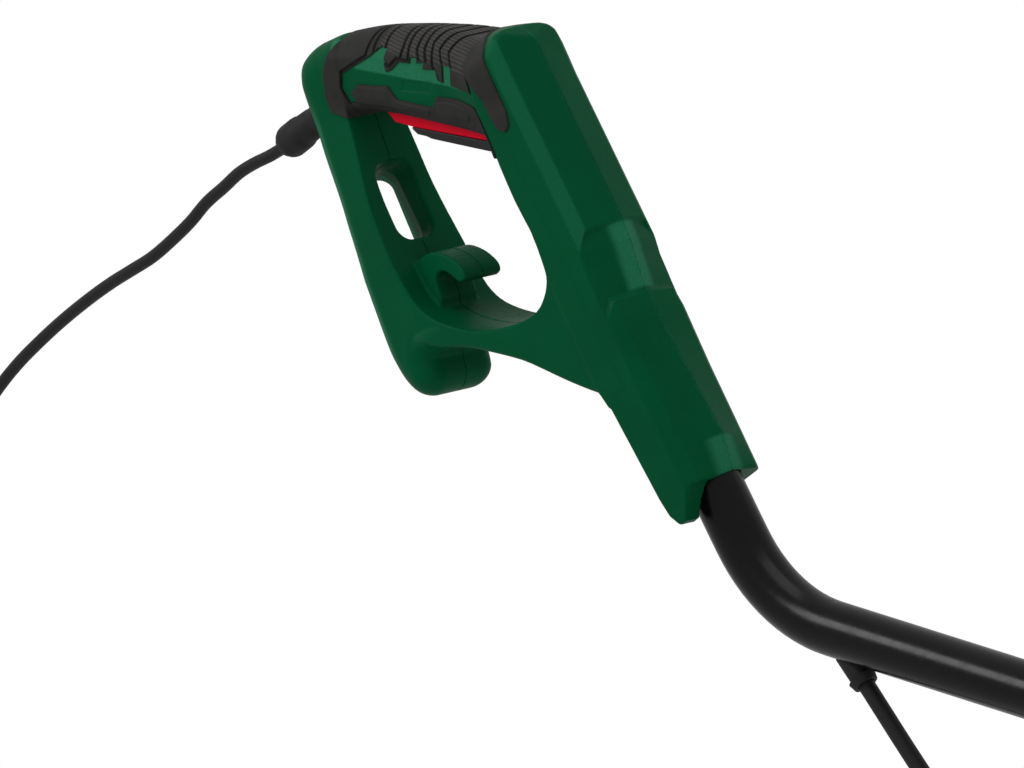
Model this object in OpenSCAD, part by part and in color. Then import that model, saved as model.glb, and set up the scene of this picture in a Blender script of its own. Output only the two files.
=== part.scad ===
// Corded string trimmer, held in its working posture: +X forward, +Z up, +Y to the user's left.
// The origin is the middle of the rear grip, on the plane of symmetry.

/* [Rear handle] */
// Height of the housing above the tube's exit
housing_h = 252; // [235:1:280]
// Width of the two housing halves together
housing_w = 54; // [50:1:62]
// Wall of the housing
housing_wall = 2.5; // [2:0.1:3]
// Reach of the rear strap behind the tube's axis
loop_reach = 141; // [132:1:160]
// Width of the strap that closes the loop
strap_w = 50; // [44:1:54]
// Width of the grip's hard core
core_w = 31; // [29:1:34]
// Thickness of the soft overmould on the grip
overmould_t = 3; // [2:0.5:4]
// Width of the cord slot in the strap
slot_w = 25; // [18:1:30]
// Height of the cord slot
slot_h = 40; // [30:1:44]
// Width of the cord hook
hook_w = 26; // [20:1:32]
// Width of the trigger
trigger_w = 17; // [14:1:19]

/* [Tubes] */
// Outer diameter of the upper tube
tube_d = 28; // [26:0.5:30]
// Wall of both tubes
tube_wall = 1.2; // [1:0.1:1.5]
// Radius of the bend
bend_r = 85; // [75:1:110]
// Angle of the bend
bend_angle = 50; // [42:1:58]
// Length of the upper tube past the bend
upper_run = 395; // [380:5:460]
// Length of the whole straight run, both tubes
run_len = 730; // [690:5:820]
// How far the lower tube plugs into the upper one
tube_overlap = 70; // [50:5:90]

/* [Front handle] */
// Where the front handle sits along the straight run
handle_at = 225; // [200:5:260]
// Outer width of the bow
bow_w = 142; // [120:1:160]
// Height of the bow over its pivot
bow_h = 112; // [95:1:130]
// Diameter of the bow's bar
bow_d = 18; // [14:1:20]
// Diameter of the soft grip on the bow
bow_grip_d = 27; // [24:1:32]

/* [Head] */
// Outer diameter of the motor housing
motor_d = 84; // [80:1:92]
// Height of the motor housing
motor_h = 96; // [90:1:110]
// Outer radius of the guard
guard_r = 150; // [140:1:170]
// Arc that the guard covers
guard_arc = 176; // [160:2:178]
// Depth of the guard's skirt
skirt_h = 30; // [20:1:36]
// Outer diameter of the spool hub
hub_d = 88; // [80:1:96]
// Height of the spool hub
hub_h = 36; // [32:1:42]
// Length of each cutting line past the hub
line_len = 100; // [80:5:110]
// Travel of the bump cap
bump_travel = 5; // [3:0.5:6]
// Radius of the plant guard hoop
hoop_r = 163; // [156:1:180]

/* [Cables] */
// Diameter of the mains lead
cord_d = 6.4; // [5.8:0.1:7]
// Diameter of the cable to the motor
cable_d = 8.8; // [7:0.1:9]

/* [Fits] */
// Gap between parts that are screwed or pushed together
seat_gap = 0.05; // [0.02:0.01:0.1]
// Radial clearance of a turning fit
run_fit = 0.08; // [0.05:0.01:0.1]
// Gap between parts that move past each other
move_gap = 0.6; // [0.4:0.1:1]

/* [Hidden] */
$fn = 48;
lean = 5;
lift = housing_h - 252;
shift = 141 - loop_reach;
half_w = housing_w / 2;
tube_r = tube_d / 2;
low_r = tube_r - tube_wall - seat_gap;
cord_r = cord_d / 2;
cable_r = cable_d / 2;

// Handle plane: x is ahead of the tube's axis, y is up along the housing from the tube's exit.
grip_mid = [-62, 268 + lift];
grip_front = [-21, 204 + lift];
grip_back = [-101 + shift, 268 + lift];
grip_turn = atan2(grip_back[1] - grip_front[1], grip_front[0] - grip_back[0]);
boot_at = [-117 + shift, 280.5 + lift];
boot_len = 52;
boot_inside = 10;
socket_top = 70;
pin_r = 2;
pivot_at = [8, 9.5];
screw_r = 2;
boss_r = 5;
boss_at = [[2, 236 + lift], [2, 160], [0, 86], [-62, 115], [-129.5 + shift, 132], [-104 + shift, 292 + lift]];
slot_low = 199;
tail_down = 30;
slope = 90 - bend_angle - lean;
bend_end = [bend_r * (1 - cos(bend_angle)), -tail_down - bend_r * sin(bend_angle)];

// Stations along the straight run, measured from the end of the bend.
exit_x = 13;
exit_turn = 40;
clip_x = [345, 462, 578, 662];
clip_w = 12;
cable_z = -23;
sleeve_half = 28;
saddle_w = 26;
lug_w = 38;
ear_t = 9;
bow_pivot_z = tube_r + 16;
bolt_r = 3;
knob_r = 17;
yoke_len = 52;
pivot_x = run_len + 26;
knuckle_r = 24;
knuckle_w = 30;
tilt_pin_r = 4;
ear_low = knuckle_w / 2 + move_gap;

// Head: measured from the tilt pin, x ahead and z up.
axis_x = motor_d / 2 + knuckle_r + 4;
top_z = 20;
base_z = top_z - motor_h;
motor_r = motor_d / 2;
motor_wall = 2.6;
shaft_r = 4;
guard_z = base_z - 9;
neck_r = 32;
hub_top = guard_z - 6;
hub_r = hub_d / 2;
hub_low = hub_top - hub_h;
line_z = hub_low + 15;
line_r = 1.2;
cap_r = hub_r - 7;
cap_h = 15;
hoop_wire = 2.2;
hoop_dip = 14;
hoop_z = base_z + 9;
hoop_boss = 7;

// Routes of the two cables in the working posture, chosen by hand.
lead_route = [[-88, 5], [-98, 4], [-108, 3], [-120, 3], [-133, 4], [-146, 4], [-160, 2], [-176, 0],
    [-192, -4], [-210, -7], [-228, -9], [-246, -9], [-264, -9], [-284, -10], [-306, -12], [-328, -15],
    [-350, -19], [-372, -25], [-393, -33], [-412, -43], [-429, -55], [-443, -69]];
// This one is measured along and above the straight run.
cable_route = [[8, -10], [20, -20], [36, -34], [52, -48], [70, -63], [90, -77], [112, -89], [136, -98],
    [162, -103], [188, -104], [214, -101], [238, -93], [260, -81], [280, -66], [298, -50], [314, -35],
    [328, -26], [339, -23], [352, -23], [372, -23], [402, -23], [432, -23], [462, -23], [500, -23], [540, -23],
    [578, -23], [620, -23], [662, -23], [690, -23], [712, -23]];
plug_turn = 45;

// ---- frames -------------------------------------------------------------------------------------

// Places something drawn in the handle's frame: x ahead, y left, z up from the tube's exit.
module in_handle() {
    rotate([0, -lean, 0])
        translate([-grip_mid[0], 0, -grip_mid[1]])
            children();
}

// Stands a drawing of the handle plane up and gives it the width from y = low to y = high.
module slab(low, high) {
    translate([0, high, 0])
        rotate([90, 0, 0])
            linear_extrude(high - low)
                children();
}

// A round bar across the handle plane.
module cross_bar(at, r, low, high) {
    translate([at[0], high, at[1]])
        rotate([90, 0, 0])
            cylinder(r = r, h = high - low);
}

// The underside of the grip: x runs back along it and y goes up into the grip.
module on_grip() {
    translate(grip_front)
        rotate(-grip_turn)
            mirror([1, 0])
                children();
}

function on_grip_pt(p) = let (c = cos(grip_turn), s = sin(grip_turn))
    [grip_front[0] - c * p[0] + s * p[1], grip_front[1] + s * p[0] + c * p[1]];

// The straight run of the tube: x down along it, z away from its upper side.
module on_run(x = 0) {
    in_handle()
        translate([bend_end[0], 0, bend_end[1]])
            rotate([0, slope + lean, 0])
                translate([x, 0, 0])
                    children();
}

// The head's frame: upright, at the tilt pin.
module in_head() {
    on_run(pivot_x)
        rotate([0, -slope, 0])
            children();
}

// The spinning axis of the head.
module on_axis(z = 0) {
    in_head()
        translate([axis_x, 0, z])
            children();
}

module bar_x(r, length) {
    rotate([0, 90, 0])
        cylinder(r = r, h = length);
}

module bar_y(r, low, high) {
    translate([0, high, 0])
        rotate([90, 0, 0])
            cylinder(r = r, h = high - low);
}

module ring(outer, inner, h) {
    difference() {
        cylinder(r = outer, h = h);
        translate([0, 0, -1])
            cylinder(r = inner, h = h + 2);
    }
}

// A screw along -z from its head's top, which is at the origin.
module screw(r, length) {
    translate([0, 0, -length])
        cylinder(r = r, h = length);
    difference() {
        translate([0, 0, -r * 1.2])
            cylinder(r = r * 1.9, h = r * 1.2);
        for (a = [0, 90])
            rotate(a)
                cube([r * 2.2, r * 0.5, r], center = true);
    }
}

// ---- swept tubes --------------------------------------------------------------------------------

function arc(c, r, a0, a1, n) = [for (i = [0:n]) let (a = a0 + (a1 - a0) * i / n) c + r * [cos(a), sin(a)]];

function spline_pt(p, i, t) =
    let (n = len(p), a = p[max(i - 1, 0)], b = p[i], c = p[min(i + 1, n - 1)], d = p[min(i + 2, n - 1)])
    0.5 * (2 * b + (c - a) * t + (2 * a - 5 * b + 4 * c - d) * t * t + (3 * b - a - 3 * c + d) * t * t * t);

function spline(p, steps) = concat([for (i = [0:len(p) - 2], s = [0:steps - 1]) spline_pt(p, i, s / steps)],
    [p[len(p) - 1]]);

function unit(v) = v / norm(v);

// A round tube along a path that lies in the plane across `side`.
module swept(path, r, sides, side) {
    n = len(path);
    points = [for (i = [0:n - 1])
        let (t = unit(path[min(i + 1, n - 1)] - path[max(i - 1, 0)]), up = cross(t, side))
        for (k = [0:sides - 1]) path[i] + r * (cos(360 * k / sides) * side + sin(360 * k / sides) * up)];
    walls = [for (i = [0:n - 2], k = [0:sides - 1])
        let (k2 = (k + 1) % sides)
        [i * sides + k, i * sides + k2, (i + 1) * sides + k2, (i + 1) * sides + k]];
    ends = [[for (k = [0:sides - 1]) sides - 1 - k], [for (k = [0:sides - 1]) (n - 1) * sides + k]];
    polyhedron(points = points, faces = concat(walls, ends), convexity = 6);
}

// ---- outlines of the rear handle ----------------------------------------------------------------

module column_outline() {
    polygon(concat(
        [[-15, 0], [14, 0], [20, 18], [16, 88], [16, 108], [22, 139]],
        arc([12, 242 + lift], 10, 0, 90, 5),
        [[0, 254 + lift], [-10, 256 + lift], [-9, 198 + lift], [-11, 172], [-12, 140], [-19, 128], [-20, 66],
            [-17, 56]]));
}

module web_outline() {
    polygon([[-18, 66], [-36, 81], [-50, 97], [-63, 109], [-87, 126], [-112, 138], [-124 + shift, 138],
        [-124 + shift, 165], [-110 + shift, 168], [-102, 152], [-88, 139], [-74, 130], [-53, 123], [-35, 121],
        [-24, 125], [-18, 130]]);
}

module strap_outline() {
    polygon(concat(
        [[-110 + shift, 166], [-110 + shift, 200], [-101 + shift, 268 + lift], [-97 + shift, 280 + lift],
            [-97 + shift, 305.5 + lift]],
        arc([-100 + shift, 288 + lift], 18, 80, 190, 6),
        [[-134 + shift, 201], [-141 + shift, 152]],
        arc([-130.5 + shift, 130], 10.5, 180, 345, 7),
        [[-119 + shift, 140]]));
}

// The grip's upper edge: a shallow arch from the strap to the column.
function grip_top(inset) = [for (i = [0:6])
    let (t = i / 6, x = -7 + t * (-93 + shift), y = 257 + lift + t * 50 + 7 * sin(180 * t))
    [x, y - inset]];

module grip_outline(inset) {
    polygon(concat(grip_top(inset), [grip_back, grip_front, [-8, 200 + lift]]));
}

module handle_outline() {
    column_outline();
    web_outline();
    strap_outline();
}

module trigger_room() {
    on_grip()
        polygon([[-4, -12], [92, -12], [92, 20], [60, 20], [-4, 17]]);
}

// The hook on the strap's inner face; its mouth opens downward.
module hook_outline() {
    translate([shift, 0])
        polygon(concat([[-112, 186], [-103, 187]], arc([-96, 169], 17, 80, 8, 6),
            [[-83, 162], [-88, 163]], arc([-96, 168], 5.5, -5, 170, 5), [[-101, 160], [-112, 158]]));
}

// ---- housing ------------------------------------------------------------------------------------

// Everything that is solid plastic in one half, drawn on the near side.
module half_body() {
    slab(-half_w, 0) {
        column_outline();
        web_outline();
    }
    slab(-strap_w / 2, 0)
        strap_outline();
    slab(-core_w / 2, 0)
        grip_outline(overmould_t);
    slab(-hook_w / 2, 0)
        hook_outline();
}

// The hollow of one half, with the ribs that carry the tube and the parts inside left standing.
module half_hollow() {
    difference() {
        slab(-half_w + housing_wall, 1)
            offset(delta = -housing_wall)
                column_outline();
        for (z = [1, 34, 72, 96, 128, 196 + lift])
            translate([-40, -half_w, z])
                cube([80, half_w + 2, 4]);
    }
    slab(-core_w / 2 + housing_wall, 1)
        intersection() {
            offset(delta = -housing_wall)
                grip_outline(overmould_t);
            on_grip()
                translate([-20, 12])
                    square([110, 60]);
        }
    slab(-trigger_w / 2 - move_gap, 1)
        trigger_room();
}

module housing_half() {
    difference() {
        half_body();
        difference() {
            half_hollow();
            for (p = boss_at)
                cross_bar(p, boss_r, -half_w, 2);
        }
        // seat of the tube, cross-bolt, boot and lead
        translate([0, 0, -1])
            cylinder(r = tube_r + seat_gap, h = socket_top + 1);
        cross_bar([0, 48], screw_r + seat_gap, -half_w + 4, 1);
        translate([boot_at[0] - 20, 0, boot_at[1]])
            bar_x(7.5 + seat_gap, 20 + boot_inside + seat_gap);
        translate([boot_at[0] + boot_inside, 0, boot_at[1]])
            bar_x(cord_r + 1, 31);
        // cord slot through the strap
        translate([-160 + shift, 0, slot_low + slot_w / 2])
            bar_x(slot_w / 2, 80);
        translate([-160 + shift, 0, slot_low + slot_h - slot_w / 2])
            bar_x(slot_w / 2, 80);
        translate([-160 + shift, -slot_w / 2, slot_low + slot_w / 2])
            cube([80, slot_w, slot_h - slot_w]);
        // bearings of the trigger pin, seats of the inner parts
        cross_bar(on_grip_pt(pivot_at), pin_r + seat_gap, -core_w / 2 + 3, 1);
        inner_seats();
    }
}

// Room for the parts that both halves hold between them.
module inner_seats() {
    slab(-8.2, 1)
        translate(on_grip_pt([44, 27.2]))
            rotate(-grip_turn)
                square([29, 15], center = true);
    translate([2, 0, 110])
        cylinder(r = 10.2, h = 34);
    slab(-11, 1)
        translate([-99 + shift, boot_at[1]])
            square([13, 17.6], center = true);
}

module housing_right() {
    color("#0c5232")
        in_handle()
            difference() {
                housing_half();
                for (p = boss_at)
                    cross_bar(p, screw_r + seat_gap, -11, 1);
                clamp_holes();
            }
}

module housing_left() {
    color("#0c5232")
        in_handle()
            difference() {
                mirror([0, 1, 0])
                    housing_half();
                for (p = boss_at) {
                    cross_bar(p, screw_r + seat_gap, -1, 12);
                    cross_bar(p, 4.2, 11, half_w + 1);
                }
                slab(core_w / 2 - 12, half_w)
                    lock_off_outline(move_gap);
            }
}

module housing_screws() {
    color("silver")
        in_handle()
            for (p = boss_at)
                translate([p[0], 11, p[1]])
                    rotate([-90, 0, 0])
                        translate([0, 0, 2.4])
                            screw(screw_r, 22);
}

module grip_overmould() {
    side = core_w / 2 + overmould_t;
    color("#262626")
        in_handle()
            difference() {
                slab(-side, side)
                    difference() {
                        grip_outline(0);
                        column_outline();
                        strap_outline();
                    }
                slab(-core_w / 2 - seat_gap, core_w / 2 + seat_gap)
                    translate([0, -overmould_t])
                        union() {
                            grip_outline(-seat_gap);
                            translate([0, -8])
                                grip_outline(0);
                        }
                slab(core_w / 2 - 1, side + 1)
                    lock_off_outline(move_gap);
                slab(-side - 1, side + 1)
                    grip_ends();
            }
}

// Thin strips at both ends of the grip that stay clear of the column and the strap.
module grip_ends() {
    offset(delta = seat_gap) {
        column_outline();
        strap_outline();
    }
}

module lock_off_outline(gap) {
    translate(on_grip_pt([26, 40]))
        rotate(-grip_turn)
            offset(delta = gap)
                square([20, 9], center = true);
}

module lock_off_button() {
    color("#b3121d")
        in_handle()
            slab(core_w / 2 - 5, core_w / 2 + overmould_t + 5)
                lock_off_outline(0);
}

// ---- trigger ------------------------------------------------------------------------------------

module trigger() {
    color("#c2182a")
        in_handle()
            difference() {
                slab(-trigger_w / 2, trigger_w / 2)
                    on_grip()
                        polygon([[2, 2], [14, 0.5], [64, -2], [78, -2], [85, 3], [80, 10.5], [60, 10.5],
                            [50, 14], [38, 14], [14, 15], [2, 14]]);
                cross_bar(on_grip_pt(pivot_at), pin_r + run_fit, -trigger_w, trigger_w);
                slab(-3.6, 3.6)
                    on_grip()
                        polygon([[1, 16.5], [12, 16.5], [17, 8], [12, 3.5], [4, 3.5], [1, 8]]);
            }
}

module trigger_pad() {
    color("#232323")
        in_handle()
            slab(-trigger_w / 2, trigger_w / 2)
                on_grip()
                    polygon([[0, -3], [12, -4.5], [62, -6], [66, -3.5], [66, -2 - seat_gap],
                        [64, -2 - seat_gap], [14, 0.5 - seat_gap], [2, 2 - seat_gap], [0, 1]]);
}

module trigger_pin() {
    color("silver")
        in_handle()
            cross_bar(on_grip_pt(pivot_at), pin_r, -core_w / 2 + 3 + seat_gap, core_w / 2 - 3 - seat_gap);
}

// A torsion spring round the trigger's pin.
module trigger_spring() {
    at = on_grip_pt(pivot_at);
    color("silver")
        in_handle()
            difference() {
                cross_bar(at, pin_r + 1.3, -3, 3);
                cross_bar(at, pin_r + 0.4, -4, 4);
            }
}

// ---- electrical parts ---------------------------------------------------------------------------

module switch() {
    color("#303030")
        in_handle()
            slab(-8, 8)
                translate(on_grip_pt([44, 27.2]))
                    rotate(-grip_turn) {
                        square([28, 14], center = true);
                        translate([2, -7.5])
                            square([6, 3], center = true);
                    }
}

module capacitor() {
    color("#d8d4c8")
        in_handle()
            translate([2, 0, 111])
                cylinder(r = 10, h = 32);
}

module clamp_holes() {
    for (z = [-5.5, 5.5])
        translate([-99 + shift, -11, boot_at[1] + z])
            rotate([90, 0, 0])
                cylinder(r = 1.5 + seat_gap, h = 3.5);
}

module cord_clamp() {
    color("#2a2a2a")
        in_handle()
            difference() {
                translate([-99 + shift, -1.9, boot_at[1]])
                    cube([12, 16, 15.6], center = true);
                translate([-110 + shift, 0, boot_at[1]])
                    bar_x(cord_r + 1, 24);
                for (z = [-5.5, 5.5])
                    translate([-99 + shift, 7, boot_at[1] + z])
                        rotate([90, 0, 0])
                            cylinder(r = 1.5 + seat_gap, h = 20);
            }
}

module clamp_screws() {
    color("silver")
        in_handle()
            for (z = [-5.5, 5.5])
                translate([-99 + shift, 8, boot_at[1] + z])
                    rotate([-90, 0, 0])
                        screw(1.5, 22);
}

module cable_boot() {
    color("#1d1d1d")
        in_handle()
            translate([boot_at[0] + boot_inside, 0, boot_at[1]])
                rotate([0, -90, 0])
                    rotate_extrude()
                        polygon([[cord_r + seat_gap, 0], [7.5, 0], [7.5, 19], [8, 41], [8.7, 45], [8.9, 53],
                            [8.3, 58], [6.6, boot_len + boot_inside],
                            [cord_r + seat_gap, boot_len + boot_inside]]);
}

module mains_cord() {
    color("#1a1a1a")
        swept(spline([for (p = lead_route) [p[0], 0, p[1]]], 2), cord_r, 10, [0, 1, 0]);
}

module at_plug() {
    last = lead_route[len(lead_route) - 1];
    translate([last[0], 0, last[1]])
        rotate([0, -90 - plug_turn, 0])
            children();
}

module plug_body() {
    color("#1d1d1d")
        at_plug()
            difference() {
                rotate_extrude()
                    polygon([[0, 0], [4.5, 0], [5.5, 14], [12, 20], [17, 30], [18, 36], [18, 46], [17, 48], [0, 48]]);
                for (y = [-9.5, 9.5])
                    translate([0, y, 36])
                        cylinder(r = 2 + seat_gap, h = 20);
            }
}

module plug_pins() {
    color("silver")
        at_plug()
            for (y = [-9.5, 9.5])
                translate([0, y, 36.2]) {
                    cylinder(r = 2, h = 13);
                    translate([0, 0, 12])
                        cylinder(r = 2.4, h = 17);
                    translate([0, 0, 29])
                        cylinder(r1 = 2.4, r2 = 1.4, h = 1.6, $fn = 24);
                }
}

// ---- tubes --------------------------------------------------------------------------------------

module upper_tube() {
    bore = tube_r - tube_wall;
    color("#161616")
        in_handle()
            difference() {
                union() {
                    translate([0, 0, -tail_down])
                        ring(tube_r, bore, tail_down + socket_top);
                    translate([bend_r, 0, -tail_down])
                        rotate([90, 0, 0])
                            rotate([0, 0, 180])
                                rotate_extrude(angle = bend_angle)
                                    translate([bend_r, 0])
                                        difference() {
                                            circle(r = tube_r);
                                            circle(r = bore);
                                        }
                    translate([bend_end[0], 0, bend_end[1]])
                        rotate([0, 90 + slope + lean, 0])
                            ring(tube_r, bore, upper_run);
                }
                cross_bar([0, 48], screw_r + 0.5, -30, 30);
                cable_hole(6 + seat_gap);
            }
}

// The hole in the tube's underside where the motor cable comes out, drawn in the handle's frame.
module cable_hole(r) {
    translate([bend_end[0], 0, bend_end[1]])
        rotate([0, slope + lean, 0])
            translate([exit_x, 0, -tube_r])
                rotate([0, 90 + exit_turn, 0])
                    translate([0, 0, -9])
                        cylinder(r = r, h = 20);
}

module tube_bolt() {
    color("silver")
        in_handle()
            cross_bar([0, 48], screw_r, -half_w + 4 + seat_gap, half_w - 4 - seat_gap);
}

module cable_grommet() {
    color("#141414")
        in_handle()
            translate([bend_end[0], 0, bend_end[1]])
                rotate([0, slope + lean, 0])
                    translate([exit_x, 0, -tube_r])
                        rotate([0, 90 + exit_turn, 0])
                            difference() {
                                union() {
                                    translate([0, 0, -5])
                                        cylinder(r = 6, h = 17);
                                    translate([0, 0, 10])
                                        cylinder(r1 = 7.4, r2 = 6.4, h = 4);
                                }
                                translate([0, 0, -10])
                                    cylinder(r = cable_r + 0.3, h = 30);
                            }
}

module motor_cable() {
    color("#181818")
        on_run()
            swept(spline([for (p = cable_route) [p[0], 0, p[1]]], 2), cable_r, 10, [0, 1, 0]);
}

module lower_tube() {
    color("#161616")
        on_run(upper_run - tube_overlap)
            difference() {
                bar_x(low_r, run_len - upper_run + tube_overlap);
                translate([-1, 0, 0])
                    bar_x(low_r - tube_wall, run_len);
                translate([run_len - upper_run + tube_overlap - 25, 0, 0])
                    bar_y(screw_r + 0.5, -30, 30);
            }
}

module coupling_sleeve() {
    color("#1c1c1c")
        on_run(upper_run)
            difference() {
                union() {
                    translate([-sleeve_half, 0, 0])
                        bar_x(tube_r + 4, sleeve_half * 2);
                    for (x = [-sleeve_half, sleeve_half - 6])
                        translate([x, 0, 0])
                            bar_x(tube_r + 5, 6);
                    translate([-15, -9, tube_r])
                        cube([30, 18, 12]);
                }
                translate([-sleeve_half - 1, 0, 0])
                    bar_x(tube_r + seat_gap, sleeve_half + 1 + seat_gap);
                bar_x(low_r + seat_gap, sleeve_half + 1);
                for (x = [-8, 8])
                    translate([x, 0, 0])
                        cylinder(r = screw_r + seat_gap, h = 60);
            }
}

module coupling_screws() {
    color("silver")
        on_run(upper_run)
            for (x = [-8, 8])
                translate([x, 0, tube_r + 14.6])
                    screw(screw_r, x < 0 ? 14.2 : 15);
}

module cable_clips() {
    color("#1c1c1c")
        for (x = clip_x)
            on_run(x)
                translate([-clip_w / 2, 0, 0])
                    clip(x < upper_run ? tube_r : low_r);
}

module clip(r) {
    difference() {
        union() {
            bar_x(r + 2.2, clip_w);
            translate([0, 0, cable_z])
                bar_x(cable_r + 2, clip_w);
            translate([0, -cable_r - 2, cable_z])
                cube([clip_w, 2 * cable_r + 4, -cable_z - r]);
        }
        translate([-1, 0, 0])
            bar_x(r + seat_gap, clip_w + 2);
        translate([-1, 0, cable_z])
            bar_x(cable_r + 0.5, clip_w + 2);
        translate([-1, -1.5, cable_z - cable_r - 4])
            cube([clip_w + 2, 3, 6]);
    }
}

// ---- front handle -------------------------------------------------------------------------------

module saddle_block() {
    translate([-saddle_w / 2, 0, 0])
        bar_x(tube_r + 4, saddle_w);
    translate([-saddle_w / 2, -tube_r - 6, -6])
        cube([saddle_w, 2 * tube_r + 12, 12]);
}

module saddle_bolt_holes() {
    for (side = [-1, 1])
        translate([0, side * (tube_r + 2.8), -20])
            cylinder(r = screw_r + seat_gap, h = 40);
}

module saddle_upper() {
    lug = lug_w / 2 - ear_t - move_gap;
    color("#1c1c1c")
        on_run(handle_at)
            difference() {
                union() {
                    intersection() {
                        saddle_block();
                        translate([-50, -50, 0.4])
                            cube(100);
                    }
                    translate([0, 0, bow_pivot_z])
                        bar_y(11, -lug, lug);
                    translate([-11, -lug, tube_r])
                        cube([22, 2 * lug, bow_pivot_z - tube_r]);
                }
                translate([-50, 0, 0])
                    bar_x(tube_r + seat_gap, 100);
                saddle_bolt_holes();
                translate([0, 0, bow_pivot_z])
                    bar_y(bolt_r + run_fit, -30, 30);
            }
}

module saddle_lower() {
    color("#1c1c1c")
        on_run(handle_at)
            difference() {
                intersection() {
                    saddle_block();
                    translate([-50, -50, -100.4])
                        cube(100);
                }
                translate([-50, 0, 0])
                    bar_x(tube_r + seat_gap, 100);
                saddle_bolt_holes();
                for (side = [-1, 1])
                    translate([0, side * (tube_r + 2.8), -26])
                        cylinder(r = screw_r * 2, h = 20 + seat_gap);
            }
}

module saddle_screws() {
    color("silver")
        on_run(handle_at)
            for (side = [-1, 1])
                translate([0, side * (tube_r + 2.8), -6 - 2.4])
                    rotate([180, 0, 0])
                        screw(screw_r, 14);
}

// One side of the bow, drawn across the tube: a flared leg, an upright and a rounded corner.
module bow_side() {
    foot = (lug_w - ear_t) / 2;
    half = (bow_w - bow_d) / 2;
    knee = [half, 58];
    flare = atan2(knee[0] - foot, knee[1] - 10);
    corner = 26;
    translate([0, foot, 10])
        rotate([-flare, 0, 0])
            cylinder(r = bow_d / 2, h = norm([knee[0] - foot, knee[1] - 10]));
    translate([0, knee[0], knee[1]])
        sphere(r = bow_d / 2 + 0.2);
    translate([0, half, knee[1]])
        cylinder(r = bow_d / 2, h = bow_h - corner - knee[1] + 0.01);
    translate([0, half - corner, bow_h - corner])
        rotate([90, 0, 90])
            rotate_extrude(angle = 90)
                translate([corner, 0])
                    circle(r = bow_d / 2);
    translate([0, 0, bow_h])
        bar_y(bow_d / 2, 0, half - corner + 0.01);
}

module bow() {
    inner = lug_w / 2 - ear_t;
    color("#1e1e1e")
        on_run(handle_at)
            translate([0, 0, bow_pivot_z])
                difference() {
                    for (side = [-1, 1])
                        mirror([0, side > 0 ? 0 : 1, 0])
                            difference() {
                                union() {
                                    bow_side();
                                    bar_y(12.5, inner, lug_w / 2);
                                }
                                translate([-30, inner - 60, -30])
                                    cube([60, 60, 31.6 + knob_r]);
                                translate([-30, lug_w / 2, -30])
                                    cube([60, 60, 31.6 + knob_r]);
                            }
                    bar_y(bolt_r + run_fit, -60, 60);
                }
}

module bow_grip() {
    half = bow_w / 2 - 38;
    color("#262626")
        on_run(handle_at)
            translate([0, 0, bow_pivot_z + bow_h])
                difference() {
                    bar_y(bow_grip_d / 2, -half, half);
                    bar_y(bow_d / 2 + 0.1, -100, 100);
                }
}

module handle_bolt() {
    color("silver")
        on_run(handle_at)
            translate([0, 0, bow_pivot_z]) {
                bar_y(bolt_r, -lug_w / 2 - move_gap, lug_w / 2 + 12);
                bar_y(5.6, -lug_w / 2 - move_gap - 4, -lug_w / 2 - move_gap);
            }
}

module handle_knob() {
    low = lug_w / 2 + move_gap;
    color("#1c1c1c")
        on_run(handle_at)
            translate([0, 0, bow_pivot_z])
                difference() {
                    union() {
                        bar_y(8.6, low, low + 7);
                        bar_y(knob_r - 2, low + 6, low + 16);
                        for (a = [0:60:300])
                            rotate([0, a, 0])
                                translate([knob_r - 3.5, 0, 0])
                                    bar_y(3.5, low + 6, low + 16);
                    }
                    bar_y(bolt_r + run_fit, low - 1, lug_w / 2 + 12 + move_gap);
                }
}

// ---- yoke ---------------------------------------------------------------------------------------

module head_yoke() {
    color("#1c1c1c")
        on_run(run_len)
            difference() {
                union() {
                    translate([-yoke_len, 0, 0])
                        bar_x(low_r + 5, yoke_len + 2);
                    translate([-yoke_len, 0, 0])
                        bar_x(low_r + 6.5, 8);
                    translate([-2, -knuckle_w / 2, -17])
                        cube([pivot_x - run_len + 2, knuckle_w, 34]);
                    translate([pivot_x - run_len, 0, 0])
                        bar_y(knuckle_r, -knuckle_w / 2, knuckle_w / 2);
                    translate([-34, -8, cable_z - 8])
                        cube([36, 16, 18]);
                    translate([-40, -12, 8])
                        cube([32, 24, low_r + 6]);
                }
                translate([-yoke_len - 1, 0, 0])
                    bar_x(low_r + seat_gap, yoke_len + 1 + seat_gap);
                translate([-60, 0, cable_z])
                    bar_x(cable_r + seat_gap, 43);
                translate([pivot_x - run_len, 0, 0])
                    bar_y(tilt_pin_r + seat_gap, -40, 40);
                translate([-25, 0, 0])
                    bar_y(screw_r + seat_gap, -40, 40);
                tilt_button_outline(move_gap, 14, 60);
            }
}

module tilt_button_outline(gap, low, high) {
    translate([-24, 0, low])
        linear_extrude(high - low)
            offset(delta = gap)
                square([18, 13], center = true);
}

module tilt_button() {
    color("#b3121d")
        on_run(run_len)
            tilt_button_outline(0, low_r + 8, low_r + 17.5);
}

module tilt_spring() {
    color("silver")
        on_run(run_len)
            translate([-24, 0, low_r + 1.4])
                ring(4, 3, 1.4);
}

module yoke_screws() {
    color("silver")
        on_run(run_len)
            translate([-25, 0, 0])
                bar_y(screw_r, -low_r - 4.9, low_r + 4.9);
}

module tilt_pin() {
    color("silver")
        in_head() {
            bar_y(tilt_pin_r, -30, 30);
            bar_y(7, -31, -27 - seat_gap);
            bar_y(7, 27 + seat_gap, 31);
        }
}

// ---- motor --------------------------------------------------------------------------------------

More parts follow.
